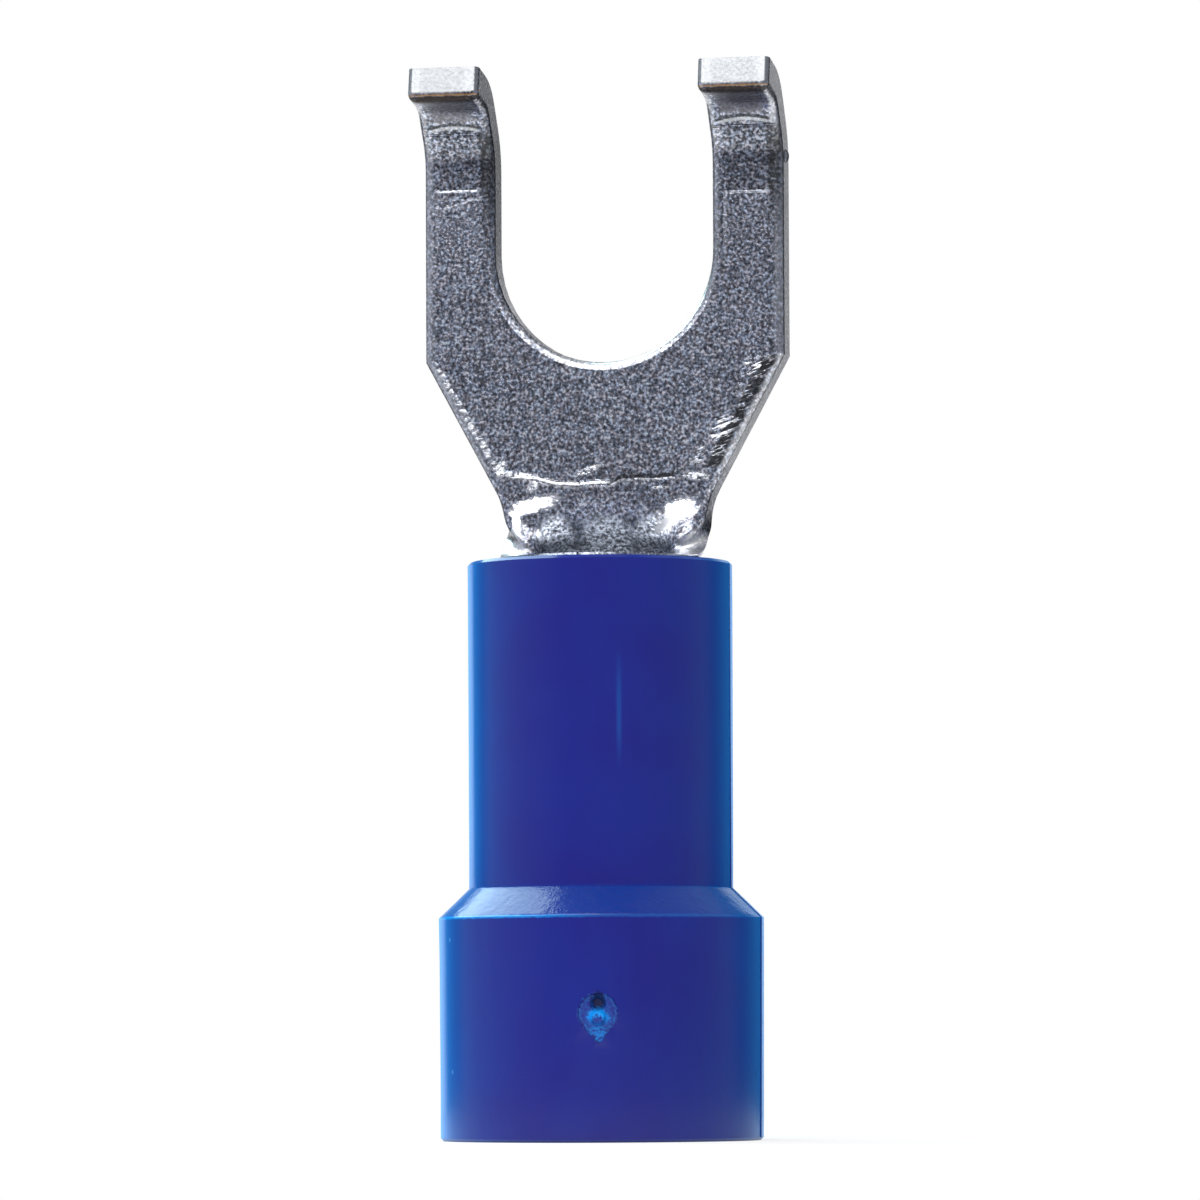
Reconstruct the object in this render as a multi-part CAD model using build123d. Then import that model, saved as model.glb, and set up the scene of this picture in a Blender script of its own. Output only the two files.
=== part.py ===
from build123d import *
from math import acos, asin, atan2, cos, degrees, radians, sin, sqrt, tan
import os

# An insulated flange terminal for 1.5 to 2.5 mm2 wire and a 4 mm stud.
# A tin-plated copper fork with turned-up tips is rolled into a wire barrel, and the barrel
# is pushed into a stepped plastic sleeve. Sizes are in millimetres.
# +Z runs from the wire entry to the fork tips and the flanges turn up towards -Y. The origin
# is the middle of the wire entry's rim, on which the terminal can stand.

# Copper strip
strip = 0.68
edge_roll = 0.17
tip_corner = 0.12

# Wire barrel, rolled from the strip and butted at the front
barrel_bore = 2.72
barrel_length = 6.50
barrel_lead_in = 0.12
seam_gap = 0.05
groove_count = 3
groove_pitch = 1.15
groove_width = 0.40
groove_depth = 0.10
groove_start = 1.90

# Neck, where the tube opens into a trough and its back wall comes forward to the flat palm.
# The wall starts to come forward inside the sleeve, below the tube's open end.
neck_length = 1.60
neck_sink = 0.95
neck_width = 4.18
neck_spread = 0.24
crease_radius = 1.90
root_radius = 1.10
palm_set_forward = 1.00
arm_curl = 0.45

# Palm and fork
palm_length = 2.48
palm_taper = 28.6
fork_width = 7.40
slot_width = 4.49
slot_web = 2.41

# Flanges, bent up in two stages
tine_length = 6.73
lean_angle = 35.0
lean_length = 1.28
lean_bend_radius = 1.20
flange_angle = 79.0
flange_length = 1.00
flange_bend_radius = 0.85

# Marks left on the tines by the bending tool: its clamp's shallow print, the line of its
# die's edge, and the metal that the bend squeezed out at the outer sides
clamp_mark_depth = 0.03
clamp_mark_length = 1.50
clamp_mark_margin = 0.22
clamp_mark_to_bend = 0.95
die_mark_radius = 0.05
die_mark_depth = 0.03
die_mark_rise = 0.25
bulge_radius = 0.22
bulge_height = 0.06
bulge_drop = 0.22

# Moulded sleeve
sleeve_length = 11.54
grip_diameter = 5.28
skirt_diameter = 6.50
skirt_height = 4.43
shoulder_rise = 0.59
mould_draft = 0.35
rim_bevel = 0.06
barrel_fit = 0.01
barrel_proud = 0.08
entry_bore = 4.90
entry_depth = 3.60
throat_land = 0.22

# Fine ridges up both sides of the sleeve, where the two halves of the mould met
parting_width = 0.07
parting_height = 0.02

# Gate mark on the skirt, where the moulding was torn off its runner: a sunken scar that runs
# down to a point, a hollow at its head and the stub that stayed below the hollow
gate_angle = 11.2
gate_height = 2.52
gate_width = 0.80
gate_tail = 0.60
gate_depth = 0.05
gate_hollow_width = 0.34
gate_hollow_depth = 0.10
gate_hollow_rise = 0.20
gate_stub_width = 0.42
gate_stub_drop = 0.08
gate_stub_height = 0.11
gate_stub_top = 0.22

# Worked out from the sizes above
barrel_inner = barrel_bore / 2
barrel_outer = barrel_inner + strip
barrel_middle = barrel_inner + strip / 2
barrel_top = sleeve_length + barrel_proud
barrel_bottom = barrel_top - barrel_length
straight_top = barrel_top - neck_sink
palm_middle = barrel_middle - palm_set_forward
palm_front = palm_middle - strip / 2
palm_base = barrel_top + neck_length
palm_top = palm_base + palm_length
slot_base = palm_base + slot_web
bend_start = palm_base + tine_length
more = 2.0


def eased(share):
    """A smooth step from 0 to 1 for a share from 0 to 1."""
    share = min(max(share, 0.0), 1.0)
    return share * share * (3 - 2 * share)


def set_forward(height, offset):
    """How far behind the barrel's axis the strip lies on the centre line, offset towards its back."""
    length = palm_base - straight_top
    spread = palm_set_forward - crease_radius - root_radius
    reach = sqrt(spread**2 + length**2)
    slope = atan2(spread, length) + asin((crease_radius + root_radius) / reach)
    upper_radius = crease_radius - offset
    lower_radius = root_radius + offset
    upper_end = palm_base - upper_radius * sin(slope)
    lower_end = straight_top + lower_radius * sin(slope)
    if height >= palm_base:
        return palm_middle + offset
    if height >= upper_end:
        return palm_middle + crease_radius - sqrt(upper_radius**2 - (palm_base - height) ** 2)
    if height <= straight_top:
        return barrel_middle + offset
    if height <= lower_end:
        return barrel_middle - root_radius + sqrt(lower_radius**2 - (height - straight_top) ** 2)
    start = palm_middle + crease_radius - upper_radius * cos(slope)
    return start + (upper_end - height) * tan(slope)


def silhouette(height):
    """Half the width of the neck seen from the front, which starts as the tube's."""
    taper_line = fork_width / 2 - (palm_top - height) * tan(radians(palm_taper))
    waist = neck_width / 2
    blend = 0.18
    gap = abs(taper_line - waist)
    half_width = max(taper_line, waist) + max(0.0, blend - gap) ** 2 / (4 * blend)
    return barrel_outer + (half_width - barrel_outer) * eased((height - barrel_top) / neck_spread)


def flipped(point):
    return Vector(-point.X, point.Y)


def tube_lines(height):
    """The inner and outer line of the tube's back half, half ellipses where its wall comes forward."""
    if height <= straight_top:
        inner_line = ThreePointArc((-barrel_inner, 0), (0, barrel_inner), (barrel_inner, 0))
        outer_line = ThreePointArc((barrel_outer, 0), (0, barrel_outer), (-barrel_outer, 0))
        return inner_line, outer_line
    inner_depth = set_forward(height, -strip / 2)
    outer_depth = set_forward(height, strip / 2)
    inner_line = EllipticalCenterArc((0, 0), barrel_inner, inner_depth, 180, arc_size=-180)
    outer_line = EllipticalCenterArc((0, 0), barrel_outer, outer_depth, 0, arc_size=180)
    return inner_line, outer_line


def tube_section(height):
    """The closed tube's section, with the gap of its butted seam at the front."""
    inner_line, outer_line = tube_lines(height)
    half_gap = seam_gap / 2
    slant = radians(-45)
    inner_lip = Vector(half_gap, -sqrt(barrel_inner**2 - half_gap**2))
    outer_lip = Vector(half_gap, -sqrt(barrel_outer**2 - half_gap**2))
    inner_side = Vector(cos(slant), sin(slant)) * barrel_inner
    outer_side = Vector(cos(slant), sin(slant)) * barrel_outer
    inner_arc = ThreePointArc(inner_line @ 1, inner_side, inner_lip)
    lip = Line(inner_lip, outer_lip)
    outer_arc = ThreePointArc(outer_lip, outer_side, outer_line @ 0)
    right_half = [inner_arc, lip, outer_arc]
    left_half = [edge.mirror(Plane.YZ) for edge in reversed(right_half)]
    return Pos(0, 0, height) * make_face([inner_line, *right_half, outer_line, *left_half])


def neck_section(share):
    """The strip's curled section at a share of the neck's height, with its front corners rolled."""
    height = barrel_top + neck_length * share
    roll_x = edge_roll / cos(radians(palm_taper))
    turn = radians(90) * (1 - eased(share / 0.72)) ** 2
    rise = eased(share / 0.12)
    end_x = silhouette(height) - strip / 2 * sin(turn)
    end_y = (palm_middle - arm_curl * sin(turn)) * rise - roll_x * (1 - rise)
    along = Vector(cos(turn), -sin(turn))
    across = Vector(sin(turn), cos(turn))
    front_corner = Vector(end_x, end_y) - across * (strip / 2)
    back_corner = front_corner + across * strip
    roll_start = front_corner - along * roll_x
    roll_end = front_corner + across * edge_roll
    roll_middle = roll_start + across * edge_roll
    front = Vector(0, set_forward(height, -strip / 2))
    back = Vector(0, set_forward(height, strip / 2))
    right_roll = EllipticalCenterArc(
        roll_middle, roll_x, edge_roll, -90, arc_size=90, rotation=-degrees(turn)
    )
    left_roll = right_roll.mirror(Plane.YZ)
    if share == 0:
        front_line, back_line = tube_lines(height)
        back_corner = back_line @ 0
    elif share == 1:
        front_line = Line(flipped(roll_start), roll_start)
        back_line = Line(back_corner, flipped(back_corner))
    else:
        front_line = Spline(flipped(roll_start), front, roll_start, tangents=[-flipped(along), along])
        back_line = Spline(back_corner, back, flipped(back_corner), tangents=[-along, flipped(along)])
    right_end = Line(roll_end, back_corner)
    left_end = Line(flipped(back_corner), flipped(roll_end))
    face = make_face([front_line, right_roll, right_end, back_line, left_end, left_roll])
    return Pos(0, 0, height) * face


def neck():
    """The tube's end, closed at the front, and the open trough above it."""
    closed = [tube_section(straight_top + neck_sink * step / 3) for step in range(4)]
    shares = (0.0, 0.07, 0.14, 0.24, 0.36, 0.49, 0.62, 0.76, 0.90, 0.97, 1.0)
    return loft(closed) + loft([neck_section(share) for share in shares])


def barrel():
    """The rolled tube, with its butted seam at the front and grip grooves in the bore."""
    ring = Circle(barrel_outer) - Circle(barrel_inner)
    tube = Pos(0, 0, barrel_bottom) * extrude(ring, straight_top - barrel_bottom)
    lead = barrel_inner + barrel_lead_in
    tube -= Pos(0, 0, barrel_bottom) * Cone(
        lead, barrel_inner, barrel_lead_in, align=(Align.CENTER, Align.CENTER, Align.MIN)
    )
    groove_profile = Polyline(
        (barrel_inner - 0.1, -groove_width / 2 - 0.1),
        (barrel_inner + groove_depth, -groove_width / 2 + groove_depth),
        (barrel_inner + groove_depth, groove_width / 2 - groove_depth),
        (barrel_inner - 0.1, groove_width / 2 + 0.1),
        close=True,
    )
    groove = revolve(Plane.XZ * make_face(groove_profile), Axis.Z)
    for index in range(groove_count):
        tube -= Pos(0, 0, barrel_bottom + groove_start + index * groove_pitch) * groove
    seam = Pos(0, -barrel_middle, barrel_bottom + barrel_length / 2)
    return tube - seam * Box(seam_gap, strip + more / 2, barrel_length + more)


def strip_path(offset):
    """Side view of the strip from the palm to the flange's tip, offset towards its back."""
    lean = radians(lean_angle)
    flange = radians(flange_angle)
    first = Vector(palm_middle, bend_start)
    second = first + Vector(-sin(lean), cos(lean)) * lean_length
    third = second + Vector(-sin(flange), cos(flange)) * flange_length
    half_turn = (flange - lean) / 2
    first_out = Vector(cos(lean / 2), sin(lean / 2)) / cos(lean / 2)
    second_out = Vector(cos(lean + half_turn), sin(lean + half_turn)) / cos(half_turn)
    third_out = Vector(cos(flange), sin(flange))
    points = [
        (0, palm_middle + offset, palm_base),
        side_point(first + first_out * offset),
        side_point(second + second_out * offset),
        side_point(third + third_out * offset),
    ]
    return FilletPolyline(points, radius=[lean_bend_radius + offset, flange_bend_radius + offset])


def side_point(point):
    return (0, point.X, point.Y)


def fork_outline():
    """Front view of the fork: the palm's taper, the straight sides and the open slot."""
    half = fork_width / 2
    base_half = silhouette(palm_base)
    top = bend_start + lean_length + flange_length + more
    palm = Polyline(
        (-base_half, palm_base),
        (-half, palm_top),
        (-half, top),
        (half, top),
        (half, palm_top),
        (base_half, palm_base),
        close=True,
    )
    slot_middle = slot_base + slot_width / 2
    slot = Pos(0, slot_middle) * Circle(slot_width / 2)
    slot += Pos(0, (slot_middle + top + more) / 2) * Rectangle(slot_width, top + more - slot_middle)
    return make_face(palm) - slot


def clamp_marks():
    """Wedges that sink into the tines' front face, deepest at the edge near the bend."""
    tine = (fork_width - slot_width) / 2
    width = tine - 2 * clamp_mark_margin
    top = bend_start - clamp_mark_to_bend
    wedge = Plane.YZ * make_face(
        Polyline(
            (palm_front, top - clamp_mark_length),
            (palm_front - more / 4, top - clamp_mark_length),
            (palm_front - more / 4, top),
            (palm_front, top),
            (palm_front + clamp_mark_depth, top - clamp_mark_depth),
            close=True,
        )
    )
    wedge = extrude(wedge, width / 2, both=True)
    centre = (slot_width + tine) / 2
    return Pos(-centre, 0, 0) * wedge + Pos(centre, 0, 0) * wedge


def die_mark():
    """A thin groove across both tines, on the leaning stretch just above the first bend."""
    lean = radians(lean_angle)
    along = lean_bend_radius * tan(lean / 2) + die_mark_rise
    forward = strip / 2 + die_mark_radius - die_mark_depth
    y = palm_middle - along * sin(lean) - forward * cos(lean)
    z = bend_start + along * cos(lean) - forward * sin(lean)
    return Pos(0, y, z) * Rot(0, 90, 0) * Cylinder(die_mark_radius, fork_width + more)


def side_bulges():
    """Balls whose caps stand out of the tines' outer sides, in the middle of the flat cut edge."""
    centre = fork_width / 2 + bulge_height - bulge_radius
    middle = palm_middle + edge_roll / 2
    height = bend_start - bulge_drop
    right = Pos(centre, middle, height) * Rot(0, 0, 180) * Sphere(bulge_radius)
    left = Pos(-centre, middle, height) * Sphere(bulge_radius)
    return left, right


def fork():
    """The flat palm and the two tines, bent up at their tips, cut from one strip."""
    blank_width = fork_width + more
    section = Pos(0, palm_middle, palm_base) * Rectangle(blank_width, strip)
    bent = sweep(section, path=strip_path(0))
    skin_line = Line((-blank_width / 2, palm_front, palm_base), (blank_width / 2, palm_front, palm_base))
    front_skin = sweep(skin_line, path=strip_path(-strip / 2))
    outline = extrude(Plane.XZ * fork_outline(), fork_width, both=True)
    plate = bent & outline
    tip_direction = Vector(0, -sin(radians(flange_angle)), cos(radians(flange_angle)))
    tip_faces = [face for face in plate.faces() if (face.normal_at() - tip_direction).length < 1e-3]
    side_edges = [
        edge
        for face in tip_faces
        for edge in face.edges()
        if abs((edge % 0.5).X) < 0.5
    ]
    plate = fillet(side_edges, tip_corner)
    rolled = [edge for edge in plate.edges() if is_front_edge(edge, front_skin)]
    plate = fillet(rolled, edge_roll)
    left, right = side_bulges()
    return plate - clamp_marks() - die_mark() + left + right


def is_front_edge(edge, front_skin):
    """True for an edge of the front face's outline, and not for a line across the bends."""
    middle = edge @ 0.5
    if middle.Z < palm_base + 1e-3 or front_skin.distance_to(Vertex(middle)) > 1e-4:
        return False
    across = abs((edge % 0.5).X) > 0.999
    at_tip = middle.Y < palm_middle - lean_length * sin(radians(lean_angle)) - flange_length * 0.8
    return at_tip or not across


def fork_terminal():
    return barrel() + neck() + fork()


def sleeve_body():
    """The turned shape of the moulding: grip, shoulder, skirt, barrel seat, throat and entry."""
    grip = grip_diameter / 2
    skirt = skirt_diameter / 2
    draft = tan(radians(mould_draft))
    skirt_base = skirt - skirt_height * draft
    shoulder_top = skirt_height + shoulder_rise
    grip_top = grip + (sleeve_length - shoulder_top) * draft / 3
    seat = barrel_outer + barrel_fit
    entry = entry_bore / 2
    throat_bottom = barrel_bottom - throat_land
    profile = Polyline(
        (entry, 0),
        (skirt_base, 0),
        (skirt, skirt_height),
        (grip, shoulder_top),
        (grip_top, sleeve_length),
        (seat, sleeve_length),
        (seat, barrel_bottom),
        (barrel_inner, barrel_bottom),
        (barrel_inner, throat_bottom),
        (entry, entry_depth),
        close=True,
    )
    body = revolve(Plane.XZ * make_face(profile), Axis.Z)
    rims = [
        edge
        for edge in body.edges().filter_by(GeomType.CIRCLE)
        if abs(edge.center().Z) < 1e-6 or abs(edge.center().Z - sleeve_length) < 1e-6
    ]
    return chamfer(rims, rim_bevel)


def parting_ridges():
    """Thin plates set into the wall, whose edges follow the outside a little proud of it."""
    skirt = skirt_diameter / 2 + parting_height
    grip = grip_diameter / 2 + parting_height
    shoulder_top = skirt_height + shoulder_rise
    depth = (grip_diameter / 2 - barrel_outer) / 2
    outside = [
        (skirt - skirt_height * tan(radians(mould_draft)), rim_bevel),
        (skirt, skirt_height),
        (grip, shoulder_top),
        (grip, sleeve_length - rim_bevel),
    ]
    inside = [(x - depth, z) for x, z in reversed(outside)]
    ridge = extrude(Plane.XZ * make_face(Polyline(*outside, *inside, close=True)), parting_width / 2, both=True)
    return ridge + ridge.mirror(Plane.YZ)


def gate_scar():
    """Front view of the scar: a circle whose sides run down to a point."""
    radius = gate_width / 2
    slant = acos(radius / gate_tail)
    left = Vector(-sin(slant), -cos(slant)) * radius
    right = flipped(left)
    foot = Vector(0, -gate_tail)
    crown = ThreePointArc(left, (0, radius), right)
    return make_face([crown, Line(right, foot), Line(foot, left)])


def gate_mark():
    """The scar with its hollow, and the torn stub that stands in it, along +Z from the skirt."""
    upright = (Align.CENTER, Align.CENTER, Align.MIN)
    scar = Pos(0, 0, -gate_depth) * extrude(gate_scar(), gate_width)
    hollow_floor = -gate_depth - gate_hollow_depth
    hollow = Pos(0, gate_hollow_rise, hollow_floor) * Cone(
        gate_hollow_width / 4, gate_hollow_width / 2, gate_hollow_depth, align=upright
    )
    stub = Pos(0, -gate_stub_drop, hollow_floor) * Cone(
        gate_stub_width / 2,
        gate_stub_top / 2,
        gate_hollow_depth + gate_stub_height,
        align=upright,
    )
    return scar + hollow, stub


def insulating_sleeve():
    draft = tan(radians(mould_draft))
    surface = skirt_diameter / 2 - (skirt_height - gate_height) * draft
    place = Rot(0, 0, gate_angle) * Pos(0, -surface, gate_height) * Rot(90, 0, 0)
    scar, stub = gate_mark()
    return sleeve_body() + parting_ridges() - place * scar + place * stub


pieces = {
    "fork_terminal": fork_terminal(),
    "insulating_sleeve": insulating_sleeve(),
}

os.makedirs("parts", exist_ok=True)
for name, piece in pieces.items():
    export_step(piece, f"parts/{name}.step")
    print(name, "volume", round(piece.volume, 3), "solids", len(piece.solids()))
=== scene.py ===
# %% [markdown]
# This notebook dresses an insulated flange terminal, the crimped end of a control wire. A fork
# stamped from tinned copper grips a screw, and a blue plastic sleeve covers the wire barrel.
# Their shapes could be modelled here once more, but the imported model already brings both
# solids at their real size, down to the mark of the moulding gate. So this file never moves or
# bends them. It gives each one its finish, and sets the studio around them.

# %% Load the frame
from math import cos, pi, radians, sin, tan
from types import SimpleNamespace

import bmesh
import bpy
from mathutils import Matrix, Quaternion, Vector

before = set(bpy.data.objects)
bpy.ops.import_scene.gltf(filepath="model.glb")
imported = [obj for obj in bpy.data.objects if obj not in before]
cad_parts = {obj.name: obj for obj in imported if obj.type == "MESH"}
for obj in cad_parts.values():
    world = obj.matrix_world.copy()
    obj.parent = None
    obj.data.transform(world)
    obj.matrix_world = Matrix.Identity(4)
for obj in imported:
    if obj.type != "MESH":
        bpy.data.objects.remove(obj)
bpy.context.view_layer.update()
MM = 0.001
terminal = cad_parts["fork_terminal"]
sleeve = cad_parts["insulating_sleeve"]
print("loaded", sorted(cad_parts))

# %% [markdown]
# The photograph was taken with a long lens, a little to the right of the fork's front and
# almost level with the table. The camera could be turned by hand until it looks right, but
# then each change of lens would need a new aim. Here the lens is given in pixels of the
# photograph, and so is the tilt, so the two stay in step. The tilt makes the sleeve's rims bow
# the way they do in the photograph, and the camera leans by a quarter of a degree.

# %% Camera
PHOTO = 1200
FOCAL_PIXELS = 7000
TILT_PIXELS = 440
SENSOR = 36.0
CAMERA_AWAY = 140 * MM
CAMERA_TURN = radians(12.5)
CAMERA_HEIGHT = 2.0 * MM
CAMERA_ROLL = radians(0.25)
NEAREST_SEEN = 1 * MM
FARTHEST_SEEN = 10.0

camera_data = bpy.data.cameras.new("view")
camera_data.sensor_width = SENSOR
camera_data.lens = FOCAL_PIXELS / PHOTO * SENSOR
camera_data.clip_start = NEAREST_SEEN
camera_data.clip_end = FARTHEST_SEEN
camera = bpy.data.objects.new("view", camera_data)
bpy.context.scene.collection.objects.link(camera)
aside, ahead = sin(CAMERA_TURN), cos(CAMERA_TURN)
camera.location = (CAMERA_AWAY * aside, -CAMERA_AWAY * ahead, CAMERA_HEIGHT)
camera_aim = Vector((-aside, ahead, TILT_PIXELS / FOCAL_PIXELS))
level = camera_aim.to_track_quat("-Z", "Y")
camera.rotation_euler = (level @ Quaternion((0, 0, 1), -CAMERA_ROLL)).to_euler()
bpy.context.scene.camera = camera
bpy.context.scene.view_settings.view_transform = "Standard"
print("lens", round(camera_data.lens, 1), "mm")

# %% [markdown]
# A material is a graph of nodes. Its Math nodes could be added and linked one by one, but a
# mask of twenty terms is far easier to read as arithmetic. So a Wire holds one output socket,
# and adding or multiplying it adds the Math node.


# %% A wire that can be added and multiplied
class Wire:
    """One output socket, which can be used in Python arithmetic."""

    def __init__(self, recipe, socket):
        self.recipe = recipe
        self.socket = socket

    def math(self, operation, *others):
        """The Math node of this name, fed with this wire and the others."""
        inputs = dict(enumerate((self, *others)))
        return self.recipe.node("ShaderNodeMath", {"operation": operation}, inputs)

    def __add__(self, other):
        return self.math("ADD", other)

    def __sub__(self, other):
        return self.math("SUBTRACT", other)

    def __mul__(self, other):
        return self.math("MULTIPLY", other)

    def __truediv__(self, other):
        return self.math("DIVIDE", other)

    def __rsub__(self, other):
        return self.recipe.node("ShaderNodeMath", {"operation": "SUBTRACT"}, {0: other, 1: self})

    def __neg__(self):
        return self.math("MULTIPLY", -1.0)

    __radd__ = __add__
    __rmul__ = __mul__

    def size(self):
        """The value without its sign."""
        return self.math("ABSOLUTE")

    def capped(self, most):
        """The value, but never more than this."""
        return self.math("MINIMUM", most)

    def step(self, low, high):
        """0 below low, 1 above high, and a smooth rise between them."""
        settings = {"interpolation_type": "SMOOTHSTEP"}
        inputs = {"Value": self, "From Min": low, "From Max": high}
        return self.recipe.node("ShaderNodeMapRange", settings, inputs)

    def within(self, reach, soft):
        """1 where the value is nearer to 0 than reach, and 0 from soft beyond it."""
        return 1 - self.size().step(reach, reach + soft)


print("a wire adds, multiplies, steps and caps")

# %% [markdown]
# A Recipe holds the nodes of one material, or of the world. Each kind of node could have a
# helper of its own, but Blender has dozens of kinds. So one method makes any of them from its
# kind, its settings and what goes into its sockets, and only the few that come up all the time
# get a short name.


# %% A recipe for a material
class Recipe:
    """The node tree of one material or of the world."""

    def __init__(self, owner):
        owner.use_nodes = True
        self.tree = owner.node_tree
        self.tree.nodes.clear()

    def node(self, kind, settings=None, inputs=None, output=0):
        """Adds one node: its settings first, then the values or wires of its sockets."""
        made = self.tree.nodes.new(kind)
        for name, value in (settings or {}).items():
            if name == "stops":
                self.set_stops(made.color_ramp, value)
            else:
                setattr(made, name, value)
        for name, value in (inputs or {}).items():
            if isinstance(value, Wire):
                self.tree.links.new(value.socket, made.inputs[name])
            else:
                made.inputs[name].default_value = value
        return Wire(self, made.outputs[output] if made.outputs else None)

    def set_stops(self, ramp, stops):
        """Gives a ramp its stops, the first and last on the two that it is born with."""
        ramp.elements[0].position, ramp.elements[0].color = stops[0]
        ramp.elements[1].position, ramp.elements[1].color = stops[-1]
        for place, colour in stops[1:-1]:
            ramp.elements.new(place).color = colour

    def vector(self, operation, first, second=None, output=0):
        """The Vector Math node of this name."""
        inputs = {0: first} if second is None else {0: first, 1: second}
        return self.node("ShaderNodeVectorMath", {"operation": operation}, inputs, output)

    def mix(self, share, first, second):
        """A colour between two colours."""
        settings = {"data_type": "RGBA"}
        return self.node("ShaderNodeMix", settings, {0: share, 6: first, 7: second}, 2)

    def scaled(self, colour, amount):
        """A colour made brighter or darker by an amount that changes over the surface."""
        inputs = {"Vector": colour, "Scale": amount}
        return self.node("ShaderNodeVectorMath", {"operation": "SCALE"}, inputs)

    def noise(self, place, scale, detail=2.0, roughness=0.5):
        """Smooth noise with this many bumps to each unit of place."""
        inputs = {"Vector": place, "Scale": scale, "Detail": detail, "Roughness": roughness}
        return self.node("ShaderNodeTexNoise", {"noise_dimensions": "3D"}, inputs)

    def millimetres(self, stretch=(1, 1, 1)):
        """The place on the piece in millimetres, stretched along each axis."""
        place = self.node("ShaderNodeTexCoord", output="Object")
        return self.vector("MULTIPLY", place, [value / MM for value in stretch])

    def normal(self):
        """The direction in which the surface faces."""
        return self.node("ShaderNodeNewGeometry", output="Normal")

    def split(self, vector):
        """The three coordinates of a vector, each as a wire."""
        made = self.node("ShaderNodeSeparateXYZ", inputs={0: vector}).socket.node
        return [Wire(self, output) for output in made.outputs]

    def seen_by(self, *kinds):
        """1 for rays of these kinds, such as Camera or Glossy, and 0 for the others."""
        first, *others = [
            self.node("ShaderNodeLightPath", output=f"Is {kind} Ray") for kind in kinds
        ]
        for other in others:
            first = first.math("MAXIMUM", other)
        return first

    def finish(self, shader):
        """Ends the material in this shader."""
        self.node("ShaderNodeOutputMaterial", inputs={"Surface": shader})


def grey(value):
    """A colour between black at 0 and white at 1."""
    return (value, value, value, 1.0)


print("a recipe mixes, scales, splits and makes noise")

# %% [markdown]
# Tin plate from an electrolytic bath dries to a satin, slightly bluish grey. Under the lens it
# is a field of tiny pits and grains, each a few hundredths of a millimetre across, with single
# bright sparks. A tiled pattern could be laid on it, but that would stretch where the tips
# bend. So the grain is noise that is worked out from the place on the metal in millimetres. It
# drives the colour and a bump alike, so it answers to the light.

# %% Grain of the tin plate
GRAIN_PER_MM = 16.0
TINTS_PER_MM = 12.8
SPARKS_PER_MM = 8.8
CLOUDS_PER_MM = 0.9
GRAIN_CONTRAST = 6.8
GRAIN_TOP = 3.0
CLOUD_LOW = 0.80
CLOUD_RISE = 0.36
TINTED = (0.36, 0.64)
SPARKING = (0.70, 0.80)
SPARK_LIGHT = 0.9
COOL_TIN = (0.280, 0.315, 0.395, 1.0)
WARM_TIN = (0.335, 0.325, 0.365, 1.0)


def tin_grain(recipe, place):
    """The plate's colour, its grain, the grain's contrast, and its slow clouds."""
    grain = recipe.noise(place, GRAIN_PER_MM, detail=1.5, roughness=0.6)
    tint = recipe.noise(place, TINTS_PER_MM, detail=1.0)
    clouds = recipe.noise(place, CLOUDS_PER_MM, detail=3.0, roughness=0.55)
    sparks = recipe.noise(place, SPARKS_PER_MM, detail=0.0).step(*SPARKING)
    pits = ((grain - 0.5) * GRAIN_CONTRAST).math("EXPONENT")
    light = pits * (CLOUD_LOW + CLOUD_RISE * clouds) + sparks * SPARK_LIGHT
    tin = recipe.mix(tint.step(*TINTED), COOL_TIN, WARM_TIN)
    return recipe.scaled(tin, light.capped(GRAIN_TOP)), grain, pits, clouds


print("grains are", round(1 / GRAIN_PER_MM, 3), "mm apart")

# %% [markdown]
# The press leaves marks that the eye reads as a made thing, so each one is drawn where it is on
# the real piece. A mark could be a painted picture. It is a mask from 0 to 1 instead, because a
# mask has no pixels and fits the metal from every side. Every mask needs the same few facts
# about a point of the metal, so they are worked out once: its place, the way it faces, and two
# fine noises that break up the borders of marks.

# %% Facts about a point of the metal
PALM_FRONT = 0.36
PALM_SKIN = (0.02, 0.04)
RIGHT_HALF = (-0.1, 0.1)
FACING_FRONT = (0.05, 0.30)
SPECKLES_PER_MM = 9.0
FINE_SPECKLES_PER_MM = 11.0


def survey(recipe):
    """The facts from which every mark on the metal is worked out."""
    point = SimpleNamespace(place=recipe.millimetres(), normal=recipe.normal())
    point.x, point.y, point.z = recipe.split(point.place)
    point.side = point.x.size()
    point.right = point.x.step(*RIGHT_HALF)
    point.skin = (point.y - PALM_FRONT).within(*PALM_SKIN)
    facing = recipe.split(point.normal)
    point.forward = -facing[1]
    point.upward = facing[2]
    point.front = point.forward.step(*FACING_FRONT)
    point.speckle = recipe.noise(point.place, SPECKLES_PER_MM, roughness=0.6)
    point.fine = recipe.noise(point.place, FINE_SPECKLES_PER_MM, roughness=0.6)
    return point


print("the palm's front face is", PALM_FRONT, "mm behind the barrel's axis")

# %% [markdown]
# Marks come in two shapes. A line is a distance that is nearly 0, and noise breaks it up; the
# same breakup serves worn lines and lines of painted highlight and painted shade. A smudge is a
# leaning ellipse whose border is ragged, because rubbed metal has no clean edge.
# From here on, a pair of numbers is half a line's width and its soft border, or else where a
# mask starts to rise and where it is full. Places and widths are in millimetres.

# %% Shapes of marks
SMUDGE_BORDER = (0.55, 1.15)


def broken_up(noise, least, low, high):
    """The strength of a line that noise breaks up: from least to 1."""
    return least + (1 - least) * noise.step(low, high)


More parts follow.
